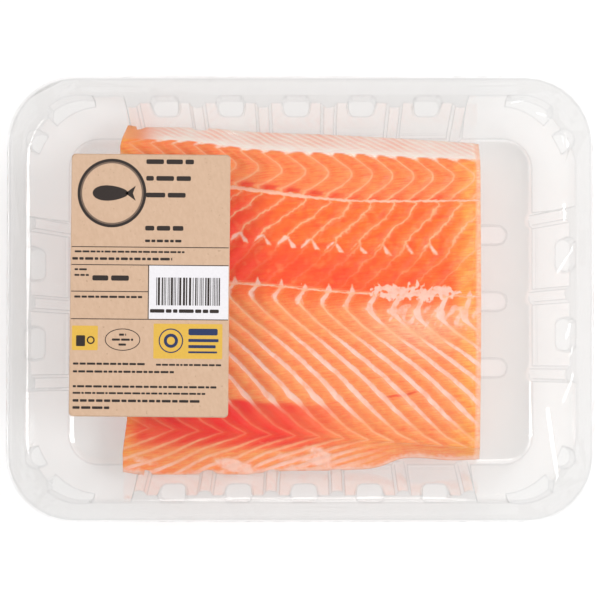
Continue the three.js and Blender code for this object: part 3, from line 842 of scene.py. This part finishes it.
def rounded_distance(x, y, length, width, radius):
    """How far inside a rounded rectangle a point lies."""
    over_x = np.abs(x) - (length / 2 - radius)
    over_y = np.abs(y) - (width / 2 - radius)
    outside = np.hypot(np.maximum(over_x, 0), np.maximum(over_y, 0))
    return radius - outside - np.minimum(np.maximum(over_x, over_y), 0)


def crease_height(x, y):
    """Low ridges along the creases, thinning out at both ends."""
    height = np.zeros(np.shape(x))
    for start, end in FILM_CREASES:
        run_x = end[0] - start[0]
        run_y = end[1] - start[1]
        part = np.clip(((x - start[0]) * run_x + (y - start[1]) * run_y) / (run_x ** 2 + run_y ** 2), 0, 1)
        off = np.hypot(x - start[0] - part * run_x, y - start[1] - part * run_y)
        height = height + FILM_CREASE_RISE * np.exp(-(off / FILM_CREASE_REACH) ** 2)
    return height


def film_height(x, y):
    """The film's top. It is sealed flat on the flange, dips just inside the rim, and is a little
    slack and creased elsewhere, but flat under the label."""
    inside = np.maximum(rounded_distance(x, y, OPENING_LENGTH, OPENING_WIDTH, OPENING_CORNER), 0)
    dip = (1 - np.exp(-inside / DIP_REACH)) * np.exp(-inside / DIP_RISE)
    tension = (0.8 + 0.4 * mist(x, y, 58, 10)) * (1 - 0.62 * ramp(x, 60, 108))
    label = rounded_distance(x - LABEL_X, y - LABEL_Y, LABEL_LENGTH, LABEL_HEIGHT, LABEL_CORNER)
    slack = FILM_SLACK * mist(x, y, 24, 11) * ramp(inside, 2, 12) * ramp(label, 0, -9)
    slack = slack + crease_height(x, y) * ramp(inside, 0, 2)
    return FLANGE_TOP + FILM_THICKNESS - FILM_DIP * dip * tension * ramp(label, -1, -17) + slack


def make_film():
    """Rings of points from the film's cut edge inwards: closest round the rim, then ever smaller."""
    rings = []
    for inset in (*FLANGE_INSETS, *DIP_INSETS, *INNER_INSETS):
        radius = max(FLANGE_CORNER + FILM_OVERHANG - inset, 1)
        rings.append(rounded_outline(PACK_LENGTH - 2 * inset, PACK_WIDTH - 2 * inset, radius,
                                     FILM_CORNER_STEPS, FILM_SIDE_STEPS))
    cut = CUT_INSET + CUT_WANDER * mist(*rings[0].T, 17, 18)
    rings[0] *= (1 - cut / np.hypot(*rings[0].T))[:, None]
    rings += [rings[-1] * scale for scale in MIDDLE_SCALES]
    faces = ring_faces(len(rings), len(rings[0]))
    x, y = np.concatenate(rings).T
    material = clear_material("clear_film", (0.985, 0.985, 0.985), (0.92, 0.92, 0.92), 0.06, 0.005, 0.025, 30)
    piece = make_piece("clear_film", np.stack([x, y, film_height(x, y)], -1), faces, material)
    thicken(piece, FILM_THICKNESS)
    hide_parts("film")


# Label and its print

# Rings of points across the label, as shares of its outline
LABEL_RINGS = [1.0, 0.985, 0.9, 0.7, 0.45, 0.2]
LABEL_CURL = 0.25
CURL_FROM = 1.15
LABEL_GAP = 0.02
INK_THICKNESS = 0.03
INK_ROUGHNESS = 0.45
RING_STEPS = 64
# Each ink's colour, and how far it stands above the paper
INKS = {"dark": ((34, 22, 16), 0.06), "grey": ((112, 92, 78), 0.05), "white": ((223, 220, 223), 0.03),
        "yellow": ((212, 170, 66), 0.03), "navy": ((20, 40, 84), 0.06)}


def label_place(points):
    """Takes points of the flat label, about its middle, to their place on the film."""
    x, y, z = np.asarray(points, float).T
    turned_x = LABEL_X + x * math.cos(LABEL_TURN) - y * math.sin(LABEL_TURN)
    turned_y = LABEL_Y + x * math.sin(LABEL_TURN) + y * math.cos(LABEL_TURN)
    return np.stack([turned_x, turned_y, film_height(turned_x, turned_y) + z], -1)


def prism_parts(outline, low, high, first):
    """Points and faces of an upright prism over an outline, numbered from first."""
    count = len(outline)
    points = [(x, y, z) for z in (low, high) for x, y in outline]
    sides = [(first + i, first + (i + 1) % count, first + count + (i + 1) % count, first + count + i)
             for i in range(count)]
    bottom = tuple(first + i for i in reversed(range(count)))
    top = tuple(first + count + i for i in range(count))
    return points, [bottom, top, *sides]


def paper_material():
    g = Graph("kraft_paper")
    fibres = g.noise((1.2, 2.4, 1.2), 4.0, turn=17)
    flecks = g.step(g.noise(1.4, 1.0), 0.68, 0.8)
    colour = g.mix(fibres, srgb(194, 160, 132), srgb(211, 179, 152))
    colour = g.mix(g.times(flecks, 0.5), colour, srgb(163, 129, 103))
    normal = g.bump(fibres, 0.00006, 0.6)
    return g.surface({"Base Color": colour, "Roughness": 0.62, "Normal": normal})


def ink_material(name, colour):
    g = Graph(name)
    wear = g.noise(1.1, 2.0)
    lighter = tuple(min(1, c * 1.12 + 0.006) for c in colour)
    return g.surface({"Base Color": g.mix(wear, colour, lighter), "Roughness": INK_ROUGHNESS})


def oval(x, y, half_x, half_y):
    """Points round an oval about x and y."""
    angles = [2 * math.pi * i / RING_STEPS for i in range(RING_STEPS)]
    return [(x + half_x * math.cos(a), y + half_y * math.sin(a)) for a in angles]


class Print:
    """Flat printed shapes of one ink, gathered into one mesh. x and y are from the label's middle."""

    def __init__(self, name, material, lift):
        self.name = name
        self.material = material
        self.low = LABEL_THICKNESS + lift - INK_THICKNESS
        self.high = LABEL_THICKNESS + lift
        self.points = []
        self.faces = []

    def shape(self, outline):
        points, faces = prism_parts(outline, self.low, self.high, len(self.points))
        self.points += points
        self.faces += faces

    def bar(self, left, bottom, right, top, corner=0.0):
        if corner:
            middle = np.array([(left + right) / 2, (bottom + top) / 2])
            self.shape(rounded_outline(right - left, top - bottom, corner, 4) + middle)
        else:
            self.shape([(left, bottom), (right, bottom), (right, top), (left, top)])

    def ring(self, x, y, outer_x, outer_y, stroke):
        outline = oval(x, y, outer_x, outer_y) + oval(x, y, outer_x - stroke, outer_y - stroke)
        o, n, top = len(self.points), len(self.points) + RING_STEPS, len(outline)
        for z in (self.low, self.high):
            self.points += [(px, py, z) for px, py in outline]
        for i in range(RING_STEPS):
            j = (i + 1) % RING_STEPS
            self.faces += [(o + i, o + j, o + top + j, o + top + i), (n + j, n + i, n + top + i, n + top + j),
                           (o + top + i, o + top + j, n + top + j, n + top + i), (o + j, o + i, n + i, n + j)]

    def words(self, left, right, y, height, seed, gap=0.55):
        """A line of small blocks that stands for a line of small print."""
        draw = random.Random(seed)
        x = left
        while x < right - height * 0.4:
            length = min(draw.uniform(1.2, 4.2) * height, right - x)
            self.bar(x, y - height / 2, x + length, y + height / 2, min(height, length) * 0.3)
            x += length + gap * height

    def make(self):
        points = label_place(self.points)
        make_piece(self.name, points, self.faces, self.material, smooth=False)


def make_label():
    """The paper, a little curled up at its corners."""
    outline = rounded_outline(LABEL_LENGTH, LABEL_HEIGHT, LABEL_CORNER, 6, 24)
    plan = np.concatenate([outline * scale for scale in LABEL_RINGS])
    off_middle = np.hypot(plan[:, 0] / (LABEL_LENGTH / 2), plan[:, 1] / (LABEL_HEIGHT / 2))
    z = LABEL_THICKNESS + LABEL_CURL * np.clip(off_middle - CURL_FROM, 0, 1) ** 2
    points = label_place(np.column_stack([plan, z]))
    faces = ring_faces(len(LABEL_RINGS), len(outline))
    piece = make_piece("paper_label", points, faces, paper_material())
    thicken(piece, LABEL_THICKNESS - LABEL_GAP)
    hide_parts("label")


def make_print():
    dark, grey, white, yellow, navy = (
        Print(f"label_print_{ink}", ink_material(f"{ink}_ink", srgb(*colour)), lift)
        for ink, (colour, lift) in INKS.items())
    margin = 0.4
    left = -LABEL_LENGTH / 2 + margin
    right = LABEL_LENGTH / 2 - margin
    rule = 0.34

    # Rules across the label, and one beside the white field
    field_left, field_low, field_high = -0.4, -14.4, 8.6
    for y, end in ((16.2, right), (field_high, right), (field_low, right), (-2.7, field_left)):
        dark.bar(left, y - rule / 2, end, y + rule / 2)
    dark.bar(field_left - rule, field_low, field_left, field_high)

    # Header lines, then small print, as [left, right, y, height]
    header = [(-2.0, 18.2, 52.6, 2.0), (-2.0, 17.0, 45.5, 2.0), (-2.0, 14.8, 38.4, 2.0),
              (-2.2, 14.0, 24.3, 2.0), (-2.2, 14.0, 18.9, 1.1), (-24.4, -8.2, 3.0, 2.2)]
    small = [(-32.0, 14.6, 14.2, 0.8), (-33.0, 9.4, 11.2, 1.1), (-32.0, -26.6, 6.6, 0.8),
             (-32.0, -25.4, 4.2, 0.8), (-32.0, -3.2, -5.0, 0.9), (-32.2, -1.0, -33.4, 0.9),
             (3.0, 30.8, -33.6, 0.8), (-32.2, 10.6, -36.7, 0.9), (-32.2, 29.0, -43.0, 0.9),
             (-32.2, 24.0, -45.8, 0.8), (-32.2, 21.6, -49.0, 1.1), (-32.2, -15.6, -52.0, 1.1)]
    for seed, (x0, x1, y, height) in enumerate(header + small):
        dark.words(x0, x1, y, height, seed)

    # White field with a plain block of bars
    white.bar(-0.3, -14.2, right, 8.4)
    draw = random.Random(21)
    x = 2.8
    while x < 29.4:
        stripe = draw.choice((0.3, 0.3, 0.6, 0.9))
        dark.bar(x, -8.4, min(x + stripe, 29.8), 3.4)
        x += stripe + draw.choice((0.35, 0.35, 0.7))
    dark.words(0.2, 29.4, -10.8, 1.5, 22, gap=0.4)

    # Yellow fields, with a plain ring and bars, and an oval between them
    yellow.bar(1.8, -31.0, 31.0, -16.2, 0.4)
    navy.ring(9.2, -23.4, 5.2, 5.2, 0.5)
    navy.ring(9.2, -23.4, 3.0, 3.0, 1.3)
    for y, height, length in ((-19.6, 2.8, 12.4), (-23.2, 1.3, 12.8), (-25.8, 1.3, 11.6), (-28.2, 0.8, 12.2)):
        navy.bar(16.6, y - height / 2, 16.6 + length, y + height / 2, height * 0.25)
    yellow.bar(-32.8, -27.7, -21.8, -17.3, 0.5)
    dark.bar(-31.0, -26.0, -27.2, -21.4, 0.4)
    dark.ring(-24.8, -23.4, 1.7, 1.7, 0.6)
    dark.ring(-11.3, -23.1, 7.5, 4.7, 0.34)
    for y, length in ((-21.0, 3.0), (-23.1, 9.0), (-25.2, 3.4)):
        dark.words(-11.3 - length / 2, -11.3 + length / 2, y, 0.9, int(-y * 10))

    # A plain ring with a softer inner edge and a plain fish in it
    dark.ring(-16.5, 39.1, 14.6, 14.6, 1.2)
    grey.ring(-16.5, 39.1, 13.4, 13.4, 0.7)
    body = [(-17.1 + 7.6 * math.cos(a), 39.1 + 3.2 * math.sin(a) * (1 - 0.22 * math.cos(a)))
            for a in np.linspace(0, 2 * math.pi, 40, endpoint=False)]
    dark.shape(body)
    dark.shape([(-10.8, 39.1), (-6.4, 42.3), (-7.6, 39.1), (-6.4, 35.9)])
    for layer in (white, yellow, grey, dark, navy):
        layer.make()


# Stage

# The photo is 600 pixels of 0.4237 mm across, seen from 0.9 m above the flange
FRAME_WIDTH = 600 * 0.4237 / 1000
CAMERA_DISTANCE = 0.9
SENSOR_WIDTH = 36
CAMERA_PLACE = Vector((0.004, -0.027, 0.945))
CAMERA_AIM = Vector((0.0, -0.0006, 0.0446))
FLOOR_HALF = 3
FLOOR_DROP = 0.0002
WORLD_SHARE = 0.38
CLEAR_LAYERS = 24
# Name, azimuth, elevation, distance, size across and up, and share of the light
SOFTBOXES = [
    ("right_softbox", 0, 45, 1.6, (1.3, 0.6), 0.13),
    ("left_softbox", 180, 42, 1.6, (1.3, 0.6), 0.14),
    ("back_softbox", 90, 45, 1.6, (1.4, 0.6), 0.12),
    ("front_softbox", -90, 40, 1.7, (1.4, 0.6), 0.09),
    ("right_strip", 3, 54, 1.3, (0.34, 0.46), 0.2),
    ("corner_strip", -26, 57, 1.3, (0.36, 0.32), 0.08),
    ("left_strip", 184, 46, 1.3, (0.08, 0.26), 0.05),
    ("back_strip", 76, 57, 1.3, (0.7, 0.16), 0.07),
]


def make_camera():
    data = bpy.data.cameras.new("camera")
    data.sensor_width = SENSOR_WIDTH
    data.lens = SENSOR_WIDTH * CAMERA_DISTANCE / FRAME_WIDTH
    camera = add_object("camera", data)
    look = (CAMERA_AIM - CAMERA_PLACE).normalized()
    camera.location = CAMERA_PLACE
    camera.rotation_euler = (math.asin(look.y), math.atan2(-look.x, -look.z), 0)
    scene.camera = camera


def make_floor():
    mesh = bpy.data.meshes.new("floor")
    form = bmesh.new()
    bmesh.ops.create_grid(form, x_segments=1, y_segments=1, size=FLOOR_HALF)
    form.to_mesh(mesh)
    form.free()
    floor = add_object("floor", mesh)
    floor.location.z = -FLOOR_DROP
    g = Graph("pale_floor")
    mesh.materials.append(g.surface({"Base Color": (0.62, 0.62, 0.62), "Roughness": 0.9,
                                     "Emission Color": (1.0, 1.0, 1.0), "Emission Strength": 0.36}))


def add_light(name, azimuth, elevation, distance, size, share):
    """A rectangular light that faces the pack. share is the brightness that it alone gives a
    white sheet lying at the origin."""
    data = bpy.data.lights.new(name, "AREA")
    data.shape = "RECTANGLE"
    data.size, data.size_y = size
    a = math.radians(azimuth)
    e = math.radians(elevation)
    data.energy = share * (math.pi * distance) ** 2 / math.sin(e)
    light = add_object(name, data)
    place = Vector((math.cos(a) * math.cos(e), math.sin(a) * math.cos(e), math.sin(e))) * distance
    light.location = place
    light.rotation_euler = (-place).to_track_quat("-Z", "Y").to_euler()


def make_light():
    world = bpy.data.worlds.new("studio")
    scene.world = world
    world.use_nodes = True
    background = world.node_tree.nodes["Background"]
    background.inputs["Color"].default_value = (1, 1, 1, 1)
    background.inputs["Strength"].default_value = WORLD_SHARE
    for softbox in SOFTBOXES:
        add_light(*softbox)
    scene.view_settings.view_transform = "Standard"
    scene.view_settings.look = "None"
    scene.cycles.transparent_max_bounces = CLEAR_LAYERS


make_camera()
make_floor()
make_light()
make_tray()
make_salmon()
make_film()
make_label()
make_print()
